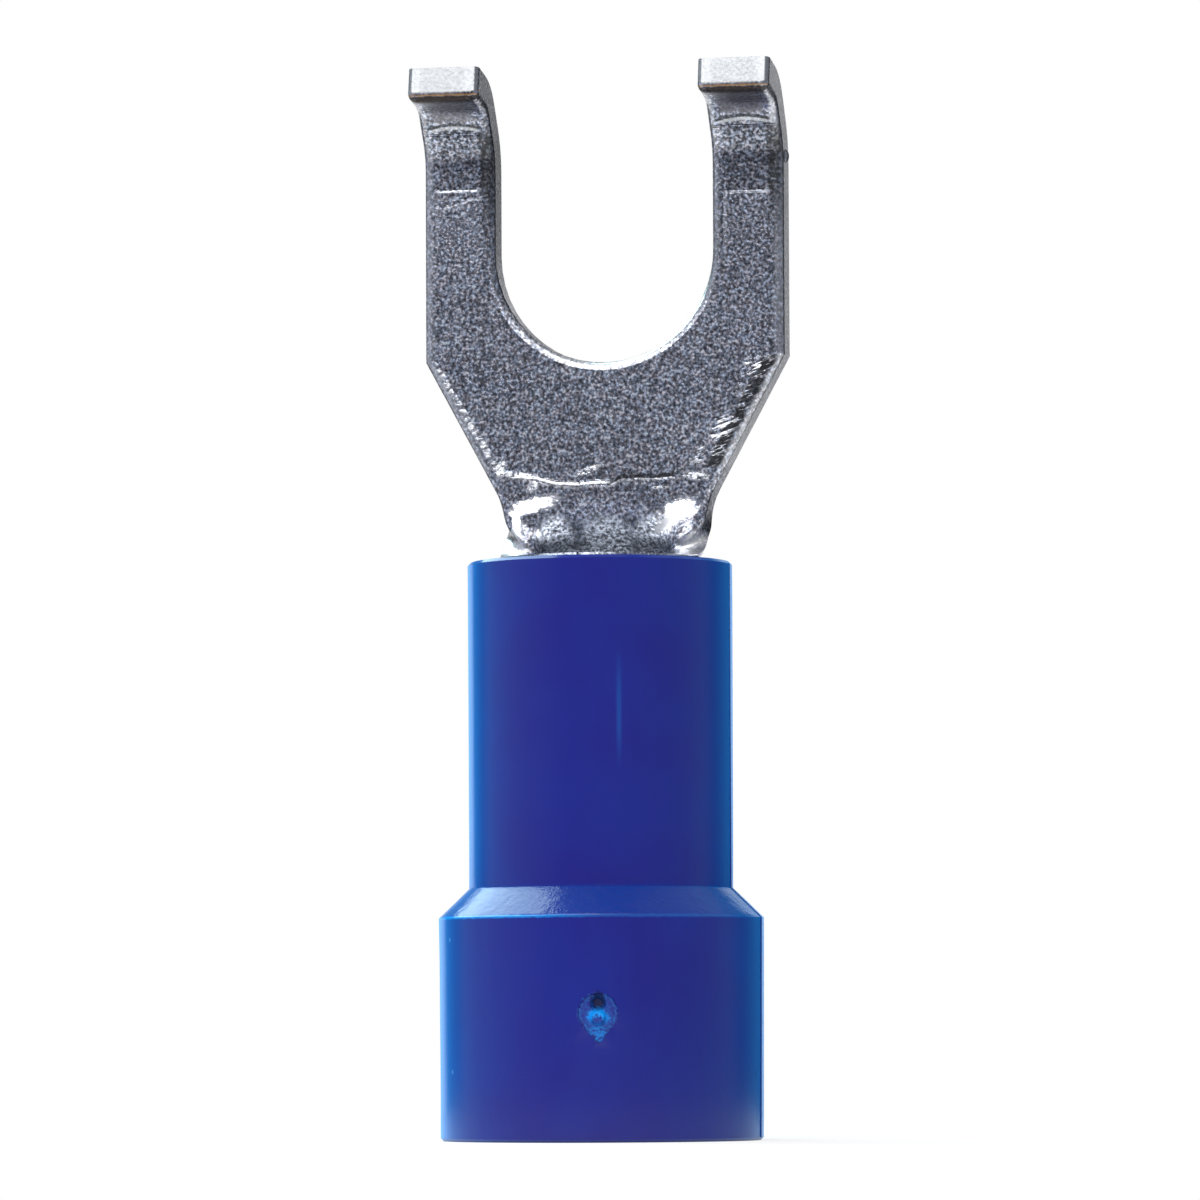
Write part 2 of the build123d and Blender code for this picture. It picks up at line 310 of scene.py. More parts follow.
def smudge(across, rise, spot, ragged):
    """1 inside a leaning ellipse: its middle, its half sizes and its turn in degrees."""
    middle_across, middle_rise, half_across, half_rise, degrees = spot
    turn = radians(degrees)
    right = across - middle_across
    up = rise - middle_rise
    turned_right = (right * cos(turn) + up * sin(turn)) / half_across
    turned_up = (up * cos(turn) - right * sin(turn)) / half_rise
    away = (turned_right * turned_right + turned_up * turned_up).math("SQRT")
    return 1 - (away + ragged).step(*SMUDGE_BORDER)


def smudges(across, rise, spots, ragged):
    """Several smudges, added up."""
    return sum(smudge(across, rise, spot, ragged) for spot in spots)


print("marks are lines and smudges")

# %% [markdown]
# Stamping rolls the edges of the blank over, and tumbling in the bath rubs them brighter than
# the flat faces. Blender's Pointiness could find the edges, but it depends on how finely the
# mesh is divided. So the distance to the outline, in millimetres, tells how near the edge a
# point is. The slot's left side has a rolled edge that faces right, away from the light. It is
# darkened as painted shade and kept less bright.

# %% Bright edges
FORK_HALF = 3.70
PALM_TOP = 15.70
PALM_FOOT = (13.3, 13.6)
TAPER = radians(28.6)
SLOT_HALF = 2.245
SLOT_CENTRE = 17.875
ROLLED = (0.06, 0.22)
EDGE_SPECKLES_PER_MM = 7.0
EDGE_SPECKLE = 0.20
SLOT_SIDE_EDGE = (0.16, 0.30)
SLOT_SIDE_SPECKLE = 0.10
SLOT_SIDE_REACH = (-1.6, -0.7)
SLOT_SIDE_SHARE = 0.8
# Rubbed tin, which is also the colour of the painted highlights.
RUBBED_TIN_AND_HIGHLIGHT = (0.86, 0.87, 0.89, 1.0)


def outer_inset(point):
    """How far inside the fork's outer outline a point is."""
    taper = (PALM_TOP - point.z).math("MAXIMUM", 0.0) * tan(TAPER)
    return (FORK_HALF - taper - point.side) * cos(TAPER)


def bright_edges(recipe, point):
    """1 on the rolled edges of palm, tines and slot, and 1 on the slot's left side, which is
    painted shade.
    """
    speckle = recipe.noise(point.place, EDGE_SPECKLES_PER_MM, 3.0, 0.65) - 0.5
    below = (point.z - SLOT_CENTRE).math("MINIMUM", 0.0)
    from_slot = (point.x * point.x + below * below).math("SQRT") - SLOT_HALF
    nearest = from_slot.math("MINIMUM", outer_inset(point)) + speckle * EDGE_SPECKLE
    # The slot's left side is painted shade, and its rolled edge is kept less bright.
    slot_side = 1 - (from_slot + speckle * SLOT_SIDE_SPECKLE).step(*SLOT_SIDE_EDGE)
    slot_side = slot_side * (1 - point.x.step(*SLOT_SIDE_REACH))
    edges = (1 - nearest.step(*ROLLED)) * point.z.step(*PALM_FOOT)
    return edges * (1 - slot_side * SLOT_SIDE_SHARE), slot_side


print("fork", 2 * FORK_HALF, "mm wide, slot", 2 * SLOT_HALF, "mm wide")

# %% [markdown]
# The tips end where the strip was cut off, and the cut is the brightest metal of all. Along
# its lower edge hangs a dark burr with a hair of bare copper. The cut could be told by its
# height alone, but the backs of the tips are as high. So the way the metal faces tells it as
# well.

# %% Cut ends of the tips
CUT_BAND = (20.80, 20.85)
CUT_UPWARD = (0.03, 0.10)
CUT_FORWARD = (0.35, 0.50)
CUT_LOW = 20.94
CUT_WANDER = 0.05
TIP_FORWARD = (0.10, 0.25)
TIP_DEPTH = (-0.85, -0.70)
BURR_DROP = 0.07
BURR_LINE = (0.045, 0.03)
COPPER_RISE = 0.012
COPPER_LINE = (0.008, 0.014)
END_TIN = (0.40, 0.41, 0.42, 1.0)
BURR = (0.030, 0.020, 0.016, 1.0)
BARE_COPPER = (0.72, 0.38, 0.12, 1.0)


def cut_ends(point):
    """1 on the flanges' cut ends, on the dark burr under them, and on its bare copper."""
    ends = point.z.step(*CUT_BAND) * point.upward.step(*CUT_UPWARD)
    ends = ends * point.forward.step(*CUT_FORWARD)
    above = point.z - CUT_LOW + (point.speckle - 0.5) * CUT_WANDER
    tip = point.forward.step(*TIP_FORWARD) * (1 - point.y.step(*TIP_DEPTH))
    burr = (above + BURR_DROP).within(*BURR_LINE) * tip
    copper = (above - COPPER_RISE).within(*COPPER_LINE) * tip
    return ends, burr, copper


print("the burr hangs", BURR_DROP, "mm below the cut")

# %% [markdown]
# Where the blank was cut along the palm's two tapers, the edge of the die left small bright
# nicks just inside the edge: a fine row on the left, and longer slanting streaks on the right
# with dark scars between them. Single nicks could be placed by hand, but there are dozens. A
# repeating beat makes the row, noise drawn out along one direction makes the streaks, and
# wobble keeps both from looking regular.

# %% Nicks along the tapers
TAPER_HEAD = (15.50, 15.80)
WOBBLES_PER_MM = 2.6
EDGE_WOBBLE = 0.3
NICK_INSET = 0.15
NICK_DRIFT = 0.055
NICK_WOBBLE = 0.14
NICK_PITCH = 0.165
NICK_JITTER = 3.0
NICK_ROW = (0.045, 0.06)
NICK_LENGTH = (0.16, 0.26)
NICK_FAINT = 0.22
NICK_BRIGHT = 0.50
NICK_WEAR = (0.40, 0.36, 0.5)
STREAK_INSET = 0.42
STREAK_BAND = (0.10, 0.20)
STREAK_GAPS = (0.50, 0.60)
STREAK_SLOPE = 0.35
STREAK_ALONG = 3.0
STREAK_ACROSS = 13.0
STREAK_FAINT = 0.15
STREAKED = ((15.50, 0.20), (13.98, 0.45))
SCAR_INSET = 0.22
SCAR_BAND = (0.06, 0.10)
SCAR_GAPS = (0.50, 0.62)
SCAR_DEPTH = 1.2


def left_nicks(point, inset, wobble):
    """The fine row of nicks inside the left taper."""
    along = point.z * cos(TAPER) + point.side * sin(TAPER)
    row = inset - NICK_INSET - (PALM_TOP - point.z) * NICK_DRIFT + wobble * NICK_WOBBLE
    beat = (along / NICK_PITCH + wobble * NICK_JITTER).math("FRACT") - 0.5
    nicks = row.within(*NICK_ROW) * (NICK_FAINT + NICK_BRIGHT * beat.within(*NICK_LENGTH))
    return nicks * broken_up(point.speckle, *NICK_WEAR) * (1 - point.right)


def right_streaks(recipe, point, inset, wobble):
    """The slanting streaks inside the right taper, and the scars between them."""
    slant = (point.z - point.x * STREAK_SLOPE) * STREAK_ACROSS
    drawn_out = {0: point.x * STREAK_ALONG, 2: slant}
    drawn_out = recipe.node("ShaderNodeCombineXYZ", inputs=drawn_out)
    slanted = recipe.noise(drawn_out, 1.0, 3.0, 0.65)
    band = (inset - STREAK_INSET + wobble * EDGE_WOBBLE).within(*STREAK_BAND)
    clusters = sum(
        (point.z - middle).within(half * 0.6, half * 0.7) for middle, half in STREAKED
    )
    streaks = band * slanted.step(*STREAK_GAPS) * (STREAK_FAINT + (1 - STREAK_FAINT) * clusters)
    scars = (inset - SCAR_INSET + wobble * EDGE_WOBBLE).within(*SCAR_BAND)
    return streaks * point.right, scars * point.right * (1 - slanted.step(*SCAR_GAPS))


def taper_nicks(recipe, point):
    """The bright nicks inside both tapers, and the dark scars between the right ones."""
    wobble = recipe.noise(point.place, WOBBLES_PER_MM, roughness=0.6) - 0.5
    inset = outer_inset(point)
    on_taper = point.z.step(*PALM_FOOT) * (1 - point.z.step(*TAPER_HEAD)) * point.skin
    streaks, scars = right_streaks(recipe, point, inset, wobble)
    nicks = left_nicks(point, inset, wobble) + streaks
    return nicks * on_taper, scars * on_taper * SCAR_DEPTH


print("nicks every", NICK_PITCH, "mm along the left taper")

# %% [markdown]
# The forming tool creased the metal between palm and neck. The crease could be cut into the
# solid, but it is far finer than the solid's own forms. So it is a thin wandering line here,
# with wisps of rubbed tin beside it. Because light falls across the fold, the line is a painted
# highlight on the left and painted shade on the right.

# %% Crease above the neck
CREASE_HEIGHT = 13.18
CREASE_STRETCH = (1.6, 1.6, 0.3)
CREASE_WANDER = 0.12
RISE_ON_RIGHT = 0.13
RIGHT_RISE = (0.05, 0.45)
RISE_ON_LEFT = 0.14
LEFT_FALL = (-1.60, -0.70)
CREASE_TURNS_DARK = (0.00, 0.30)
CREASE_MIDDLE = -0.10
CREASE_REACH = (1.40, 0.50)
BRIGHT_LINE = (0.014, 0.028)
CREASE_LIGHT_BREAKUP = (0.45, 0.35, 0.5)
DARK_LINE = (0.022, 0.040)
CREASE_SHADE_BREAKUP = (0.5, 0.34, 0.5)
DOUBLE_UP = 0.05
DOUBLE_LINE = (0.004, 0.020)
DOUBLE_GAPS = (0.36, 0.5)
DOUBLE_SHARE = 0.5
UNDER_DOWN = 0.075
UNDER_LINE = (0.010, 0.025)
UNDER_GAPS = (0.40, 0.52)
UNDER_SHARE = 0.45
WISP_GAPS = (0.34, 0.58)
WISP_SHARE = 0.85
RAGGED = 1.8
WISPS = (
    (-2.12, 13.52, 0.10, 0.26, -20),
    (-1.82, 13.38, 0.42, 0.09, -6),
    (-0.31, 13.44, 0.36, 0.08, 22),
    (1.90, 13.28, 0.34, 0.10, -4),
    (1.16, 13.06, 0.24, 0.04, 0),
    (-1.45, 13.13, 0.20, 0.11, 35),
)


def palm_crease(recipe, point):
    """The crease's painted highlight and painted shade, and the rubbed wisps."""
    x, z, speckle = point.x, point.z, point.fine
    wander = recipe.noise(recipe.millimetres(CREASE_STRETCH), 1.0) - 0.5
    rise = RISE_ON_RIGHT * x.step(*RIGHT_RISE) + RISE_ON_LEFT * (1 - x.step(*LEFT_FALL))
    line = z - CREASE_HEIGHT - rise - wander * CREASE_WANDER
    left = 1 - x.step(*CREASE_TURNS_DARK)
    reach = (x - CREASE_MIDDLE).within(*CREASE_REACH) * point.front
    # The bright lines are the crease's painted highlight, and the dark line is its painted
    # shade.
    bright = line.within(*BRIGHT_LINE) * left * broken_up(speckle, *CREASE_LIGHT_BREAKUP) * reach
    double = (line - DOUBLE_UP).within(*DOUBLE_LINE) * left * speckle.step(*DOUBLE_GAPS) * reach
    dark = line.within(*DARK_LINE) * (1 - left) * broken_up(speckle, *CREASE_SHADE_BREAKUP) * reach
    under = (line + UNDER_DOWN).within(*UNDER_LINE) * speckle.step(*UNDER_GAPS) * reach
    wisps = smudges(x, z, WISPS, (speckle - 0.5) * RAGGED)
    wisps = wisps * point.front * speckle.step(*WISP_GAPS)
    bright = bright + double * DOUBLE_SHARE + under * UNDER_SHARE
    return bright + wisps * WISP_SHARE, dark


print("crease at", CREASE_HEIGHT, "mm, with", len(WISPS), "wisps")

# %% [markdown]
# Below the crease the tool polished the two sides of the neck into small facets that look up a
# little, so they shine white, while the middle stays rough and grey. At the sleeve the two
# corners were sheared smooth. The facets could be planes of the solid, but their borders are
# torn. So they are smudges here, and the finish tilts the metal's normal up inside them. Facets
# and corners are also painted near white, a painted highlight over the real shine. The rough
# middle is painted paler, a painted lift of light.

# %% Polished neck
POLISHED_AND_HIGHLIT = (
    (-1.44, 12.76, 0.56, 0.17, 14),
    (-1.80, 12.45, 0.10, 0.40, 0),
    (1.58, 12.62, 0.42, 0.24, 12),
    (1.32, 12.38, 0.44, 0.17, 32),
)
SHEARED_AND_HIGHLIT = (1.86, 11.78, 0.34, 0.42, 0)
ROUGHENED = (
    (-1.02, 12.08, 0.42, 0.50, 0),
    (0.98, 12.12, 0.46, 0.48, 0),
    (0.0, 11.84, 0.85, 0.84, 0),
)
NECK_SPECKLES_PER_MM = 8.0
ROUGH_TIN_PAINTED_PALER = (0.55, 0.59, 0.67, 1.0)


def polished_neck(recipe, point):
    """1 on the rubbed sides of the neck, on its rough parts, and on its sheared corners; sides
    and corners carry a painted highlight, and the rough parts are painted paler.
    """
    ragged = (recipe.noise(point.place, NECK_SPECKLES_PER_MM, 3.0, 0.70) - 0.5) * RAGGED
    # The polished sides and the sheared corners carry a painted highlight in their colour.
    sides = smudges(point.x, point.z, POLISHED_AND_HIGHLIT, ragged).capped(1.0)
    rough = smudges(point.x, point.z, ROUGHENED, ragged * 0.5).capped(1.0)
    corners = smudge(point.side, point.z, SHEARED_AND_HIGHLIT, ragged * 0.5)
    return sides * point.front, rough * (1 - sides) * point.front, corners


print(len(POLISHED_AND_HIGHLIT), "polished facets,", len(ROUGHENED), "rough patches")

# %% [markdown]
# A clamp held the tines while their tips were bent. It left a thin bright step across each tine
# and a slanting scratch on the left one, and the metal above the step is darker. On the right
# tine the tin is thinner too. A step could be a tiny ledge in the solid, but its light is all
# that the eye sees of it, so a line is enough.

# %% Marks of the clamp
TINE_MIDDLE = 2.98
CLAMP_STEP = 19.07
CLAMP_SHIFT = 0.09
STEP_LINE = (0.012, 0.03)
STEP_REACH = (0.42, 0.08)
STEP_WEAR = (0.4, 0.4, 0.55)
STEP_SHARE = 0.65
SCRATCH_ACROSS = -2.86
SCRATCH_HEIGHT = 18.93
SCRATCH_SLOPE = 0.30
SCRATCH_WOBBLE = 0.03
SCRATCH_LINE = (0.008, 0.025)
SCRATCH_REACH = (0.42, 0.10)
SCRATCH_SHARE = 0.28
LIT_MARGINS = (-3.44, 2.52)
MARGIN_LINE = (0.02, 0.04)
MARGIN_FADE = (-2.0, -0.4)
MARGIN_SHARE = 0.14
SHADE_FOOT = (0.0, 0.05)
SHADE_HEAD = (20.30, 20.55)
SHADE_REACH = (0.30, 0.35)
SHADE_SHIFT = 0.05
SHADE_ON_LEFT = 0.75
THIN_TIN = 0.45
THIN_TIN_FOOT = (16.0, 17.5)


def clamp_lines(point, middle, above, below, wobble):
    """The steps, the scratch, and the lit margins of the tines below the steps."""
    step = above.within(*STEP_LINE) * middle.within(*STEP_REACH)
    step = step * broken_up(point.fine, *STEP_WEAR)
    across = point.x - SCRATCH_ACROSS
    slope = point.z - SCRATCH_HEIGHT - across * SCRATCH_SLOPE + wobble * SCRATCH_WOBBLE
    scratch = slope.within(*SCRATCH_LINE) * across.within(*SCRATCH_REACH) * (1 - point.right)
    margin = sum((point.x - place).within(*MARGIN_LINE) for place in LIT_MARGINS)
    margin = margin * below * above.step(*MARGIN_FADE)
    return step * STEP_SHARE + scratch * SCRATCH_SHARE, margin * MARGIN_SHARE


def clamp_shade(point, middle, above, below):
    """The darker metal above the steps, and the thinner tin below the right one."""
    shade = above.step(*SHADE_FOOT) * (1 - point.z.step(*SHADE_HEAD))
    shade = shade * (SHADE_ON_LEFT + point.right * (1 - SHADE_ON_LEFT))
    shade = shade * (middle - SHADE_SHIFT * point.right).within(*SHADE_REACH)
    return shade + point.right * point.z.step(*THIN_TIN_FOOT) * below * THIN_TIN


print("clamp's step at", CLAMP_STEP, "mm, give or take", CLAMP_SHIFT)

# %% [markdown]
# The bending tool left a shallow arch across the root of each tip, drawn as painted shade above
# and a painted highlight below, as light falls on the fold.
# It dulled the middle of the leaning tips and left their margins bright. Painted shade runs down
# the right margins of the tines, whose edges face away from the light. The arch could be a piece
# of a circle, but a parabola is the simplest curve that bows like the real one.

# %% Marks of bending
BEND_LINE = 20.47
BEND_WOBBLES_PER_MM = 3.0
STEP_END = (-0.05, 0.0)
BEND_ARCH = 0.25
BEND_DARK_LINE = (0.012, 0.03)
BEND_DARK_REACH = (0.50, 0.10)
BEND_DARK_SHARE = 0.9
BEND_LIGHT_DOWN = 0.06
BEND_LIGHT_LINE = (0.015, 0.03)
BEND_LIGHT_REACH = (0.45, 0.12)
BEND_LIGHT_SHARE = 0.45
TIP_WOBBLE = 0.12
TIP_REACH = (0.36, 0.20)
TIP_RISE = (BEND_LINE, BEND_LINE + 0.10)
SHADED_MARGINS = (-2.38, 3.55)
MARGIN_SHADE_LINE = (0.09, 0.09)
MARGIN_SHADE_RISE = (17.8, 19.4)
MARGIN_SHADE_END = (20.15, 20.45)
MARGIN_SHADE_BREAKUP = (0.60, 0.42, 0.56)
DULLED_TIN = (0.24, 0.225, 0.235, 1.0)


def bending_marks(recipe, point):
    """Bright lines with painted highlights, painted shade, the shade above the step, and the
    dulled tips.
    """
    wobble = recipe.noise(point.place, BEND_WOBBLES_PER_MM, roughness=0.6) - 0.5
    middle = point.side - TINE_MIDDLE
    above = point.z - CLAMP_STEP + (point.right * 2 - 1) * CLAMP_SHIFT
    below = 1 - above.step(*STEP_END)
    lines, margin = clamp_lines(point, middle, above, below, wobble)
    # The arch is painted shade above and a painted highlight below.
    arch = point.z - BEND_LINE + middle * middle * BEND_ARCH
    bend = arch.within(*BEND_DARK_LINE) * middle.within(*BEND_DARK_REACH)
    light = (arch + BEND_LIGHT_DOWN).within(*BEND_LIGHT_LINE)
    light = light * middle.within(*BEND_LIGHT_REACH)
    dull = (middle + wobble * TIP_WOBBLE).within(*TIP_REACH)
    dull = dull * point.z.step(*TIP_RISE)
    # Painted shade runs down the right margins of the tines.
    margin_shade = sum((point.x - place).within(*MARGIN_SHADE_LINE) for place in SHADED_MARGINS)
    margin_shade = margin_shade * point.z.step(*MARGIN_SHADE_RISE) * (1 - point.z.step(*MARGIN_SHADE_END))
    margin_shade = margin_shade * broken_up(point.fine, *MARGIN_SHADE_BREAKUP)
    bright = lines + light * BEND_LIGHT_SHARE + margin
    shade = clamp_shade(point, middle, above, below)
    return bright, bend * BEND_DARK_SHARE + margin_shade, shade, dull


print("bend line at", BEND_LINE, "mm")

# %% [markdown]
# All the masks of the metal come together here. They could each be mixed in as soon as they are
# made, but the order matters: wear and painted highlights lie over the plate, dirt and painted
# shade lie over them, and a cut goes through both. So they are gathered first, by name.

# %% Gather the marks


def tin_marks(recipe, point):
    """Every mask of the metal, by name."""
    nicks, scars = taper_nicks(recipe, point)
    crease, crease_shade = palm_crease(recipe, point)
    lines, bend, shade, dull = bending_marks(recipe, point)
    marks = SimpleNamespace(shade=shade, dull_tips=dull)
    marks.bright = (nicks + crease + lines).capped(1.0)
    marks.dark = (scars + crease_shade + bend).capped(1.0)
    marks.polished, marks.rough, marks.corners = polished_neck(recipe, point)
    marks.edges, marks.slot_side = bright_edges(recipe, point)
    marks.ends, marks.burr, marks.copper = cut_ends(point)
    return marks


print(len(WISPS + POLISHED_AND_HIGHLIT + ROUGHENED), "smudges on the fork, and its lines")

# %% [markdown]
# The colour starts from the plate and takes one layer of marks after the other. Each layer is a
# mix towards the colour that the mark leaves: shade, with painted shade on the slot's left side,
# dulled tin, rubbed tin with painted highlights, dirt with painted shade, the cut, the burr with
# its copper, and last the rough patches, whose pits are painted paler.

# %% Colour of the tin
SHADE_DEPTH = 0.45
SLOT_SIDE_DEPTH = 0.22
TIP_SHARE = 0.75
CORNER_SHARE = 0.7
EDGE_SHARE = 0.35
# Dirt, which is also the colour of the painted shade.
DIRT_AND_SHADE = grey(0.05)
DIRT_AND_SHADE_SHARE = 0.9
END_DARK = 0.62
END_GRAIN = 0.75
BURR_SHARE = 0.9
COPPER_SHARE = 0.7
PIT_TOP = 1.6
ROUGH_SHARE = 0.85


def tin_colour(recipe, tin, grain, pits, marks):
    """The plate with every mark on it, painted highlights and painted shade among them."""
    # The slot's left side is darkened here as painted shade.
    base = recipe.scaled(tin, 1 - marks.shade * SHADE_DEPTH - marks.slot_side * SLOT_SIDE_DEPTH)
    base = recipe.mix(marks.dull_tips * TIP_SHARE, base, DULLED_TIN)
    # Rubbed tin takes real wear, and also the painted highlights of creases, bends and the neck.
    rubbed = marks.bright + marks.polished
    rubbed = rubbed + marks.corners * CORNER_SHARE + marks.edges * EDGE_SHARE
    base = recipe.mix(rubbed.capped(1.0), base, RUBBED_TIN_AND_HIGHLIGHT)
    # The dark marks are real scars, and also painted shade on creases, bends and the tines'
    # right margins.
    base = recipe.mix(marks.dark * DIRT_AND_SHADE_SHARE, base, DIRT_AND_SHADE)
    ends = recipe.scaled(END_TIN[:3], END_DARK + END_GRAIN * grain)
    base = recipe.mix(marks.ends, base, ends)
    base = recipe.mix(marks.burr * BURR_SHARE, base, BURR)
    base = recipe.mix(marks.copper * COPPER_SHARE, base, BARE_COPPER)
    # The rough middle's pits are painted paler, a painted lift of light.
    pitted = recipe.scaled(ROUGH_TIN_PAINTED_PALER[:3], pits.capped(PIT_TOP))
    return recipe.mix(marks.rough * ROUGH_SHARE, base, pitted)


print("rubbed tin is", round(RUBBED_TIN_AND_HIGHLIGHT[1] / COOL_TIN[1], 1), "times as bright as the plate")

# %% [markdown]
# The relief answers to the light. Displacement could move the mesh, but the pits are under a
# hundredth of a millimetre deep, so a bump is enough. Rubbed places lose the grain, and lines
# stand a little above or below it. Before the bump, the rubbed and rough places of the neck
# lean up, as the tool's facets do.

# %% Relief of the tin
POLISH_TILT = (0.0, 0.0, 0.24)
LINE_HEIGHT = 0.5
EDGE_SMOOTH = 0.6
END_SMOOTH = 0.4
DRAWN_STRETCH = (9.0, 9.0, 0.5)
DRAWN_HEIGHT = 0.12
ROUGH_GRAIN = 2
ROUGH_LEAN = 1.5
LINE_LEAN = 0.7
PIT_DEPTH = 0.008 * MM
PIT_STRENGTH = 0.8


def tin_relief(recipe, normal, grain, marks):
    """The way the metal faces, with its grain, its lines and its tilted facets."""
    smooth = marks.polished + marks.corners
    smooth = (smooth + marks.edges * EDGE_SMOOTH + marks.ends * END_SMOOTH).capped(1.0)
    drawn = recipe.noise(recipe.millimetres(DRAWN_STRETCH), 1.0)
    height = grain * (1 + marks.rough * ROUGH_GRAIN - smooth) + drawn * DRAWN_HEIGHT
    height = height + marks.bright * LINE_HEIGHT - marks.dark * LINE_HEIGHT
    lean = marks.polished + marks.rough * ROUGH_LEAN + marks.bright * LINE_LEAN
    tilted = recipe.vector("ADD", normal, recipe.scaled(POLISH_TILT, lean))
    inputs = {
        "Strength": PIT_STRENGTH,
        "Distance": PIT_DEPTH,
        "Height": height,
        "Normal": recipe.vector("NORMALIZE", tilted),
    }
    return recipe.node("ShaderNodeBump", inputs=inputs)


print("pits are", PIT_DEPTH / MM, "mm deep")

# %% [markdown]
# Tin is a metal, so the Principled shader needs only its colour, its roughness and its relief.
# The roughness could be one number, but the bath leaves slow clouds in it, the bending tool
# dulled the tips, and the neck is rough in the middle.

# %% Tinned copper
PLATE_ROUGHNESS = 0.24
CLOUD_ROUGHNESS = 0.08
TIP_ROUGHNESS = 0.10
NECK_ROUGHNESS = 0.26


def tinned_copper():
    """The finish of the fork."""
    material = bpy.data.materials.new("tinned_copper")
    recipe = Recipe(material)
    point = survey(recipe)
    tin, grain, pits, clouds = tin_grain(recipe, point.place)
    marks = tin_marks(recipe, point)
    roughness = PLATE_ROUGHNESS + CLOUD_ROUGHNESS * clouds
    roughness = roughness + TIP_ROUGHNESS * marks.dull_tips + NECK_ROUGHNESS * marks.rough
    inputs = {
        "Base Color": tin_colour(recipe, tin, grain, pits, marks),
        "Metallic": 1.0,
        "Roughness": roughness,
        "Normal": tin_relief(recipe, point.normal, grain, marks),
    }
    recipe.finish(recipe.node("ShaderNodeBsdfPrincipled", inputs=inputs))
    print(material.name, "has", len(recipe.tree.nodes), "nodes")
    return material


tin_finish = tinned_copper()

# %% [markdown]
# The gate is where the runner was torn off the sleeve's moulding. Its solid is in the model: a
# shield with a point below, a hollow at its head, and a stub in the middle. The tear whitened
# the vinyl to cyan in flecks round the stub. The stub's cyan crescent is a painted highlight,
# and the hollow is painted nearly black, a painted shadow. Only that colour is added here, from
# the same shape as the solid's.

# %% Gate
GATE_TURN = radians(11.2)
GATE_HEIGHT = 2.52
GATE_RADIUS = 0.40
GATE_TAIL = 0.60
GATE_DEPTH = (-2.9, -2.7)
FLECKS_PER_MM = 17.0
WANDERS_PER_MM = 11.0
GATE_WANDER = 0.16
GATE_BORDER = (-0.05, 0.01)
GATE_RIM = (0.03, 0.05)
TORN_GAPS = (0.40, 0.58)
TAIL_GAPS = (0.36, 0.52)
GATE_RAGGED = 1.6
SHIELD_SHARE = 0.14
RIM_SHARE = 0.35
TAIL_SHARE = 0.5
STUB = (0.0, -0.08, 0.23, 0.20, 0)
STUB_SHADOW = (0.0, -0.18, 0.17, 0.15, 0)
HOLLOW = (0.0, 0.22, 0.15, 0.22, 0)
TAIL_FLECKS = (0.0, -0.40, 0.20, 0.22, 0)


def gate_outside(across, rise):
    """How far outside the shield a point is: a disc with a wedge below it."""
    slant = GATE_RADIUS / GATE_TAIL
    disc = (across * across + rise * rise).math("SQRT") - GATE_RADIUS
    wedge = across.size() * (1 - slant * slant) ** 0.5 - (rise + GATE_TAIL) * slant
    tail = wedge.math("MAXIMUM", rise + GATE_RADIUS * slant)
    return disc.math("MINIMUM", tail)


def gate_marks(recipe, place):
    """The flecked shield, the bright crescent of the stub as a painted highlight, and the dark
    hollow as a painted shadow.
    """
    x, y, z = recipe.split(place)
    across = x * cos(GATE_TURN) + y * sin(GATE_TURN)
    rise = z - GATE_HEIGHT
    front = 1 - y.step(*GATE_DEPTH)
    flecks = recipe.noise(place, FLECKS_PER_MM, 3.0, 0.65)
    border = (recipe.noise(place, WANDERS_PER_MM, roughness=0.6) - 0.5) * GATE_WANDER
    outside = gate_outside(across, rise) + border
    shield = (1 - outside.step(*GATE_BORDER)) * front
    ragged = (flecks - 0.5) * GATE_RAGGED
    # The stub's crescent is a painted highlight, and the hollow is a painted shadow.
    stub = smudge(across, rise, STUB, ragged) * (1 - smudge(across, rise, STUB_SHADOW, ragged))
    hollow = smudge(across, rise, HOLLOW, ragged) * (1 - stub)
    torn = SHIELD_SHARE + RIM_SHARE * outside.within(*GATE_RIM)
    torn = shield * torn * flecks.step(*TORN_GAPS)
    low = shield * smudge(across, rise, TAIL_FLECKS, ragged) * flecks.step(*TAIL_GAPS)
    return (torn + low * TAIL_SHARE + stub * front).capped(1.0), hollow * front, shield


print("gate", 2 * GATE_RADIUS, "mm wide at", GATE_HEIGHT, "mm")

# %% [markdown]
# The sleeve is moulded in dyed vinyl, a deep indigo with slow clouds. Its other marks are few: a
# pale line where the skirt meets the shoulder, a painted highlight along that sharp edge, a
# faint streak down the grip, and two specks of dust. One flat blue would be quick, but without
# them the sleeve looks like a drawing.

# %% Colour of the vinyl
SHOULDER_EDGE = 4.43
SHOULDER_TOP = 5.02
SHOULDER_SOFT = 0.05
EDGE_LINE = (0.012, 0.035)
EDGE_LINE_WANDER = 0.05
EDGE_LINE_BRIGHT = 0.80
EDGE_LINE_FADE = 0.62
EDGE_LINE_FADES = (-1.2, 0.9)
STREAK_TURN = radians(20.4)
STREAK_LINE = (0.01, 0.07)
STREAK_DEPTH = (-2.0, -1.8)
STREAK_FOOT = (7.2, 8.3)
STREAK_HEAD = (8.5, 9.9)
STREAK_SHARE = 0.14
VINYL_CLOUDS_PER_MM = 0.5
VINYL_CLOUDED = (0.3, 0.7)
DUST = ((-2.664, -1.844, 3.989), (-2.614, -1.914, 1.381))
DUST_SIZE = (0.02, 0.06)
DUST_SHARE = 0.4
VINYL = (0.012, 0.010, 0.182, 1.0)
CLEAR_VINYL = (0.010, 0.015, 0.205, 1.0)
SHOULDER_VINYL = (0.003, 0.016, 0.210, 1.0)
# Torn vinyl, which is also the colour of the painted highlights.
TORN_VINYL_AND_HIGHLIGHT = (0.0, 0.260, 0.760, 1.0)
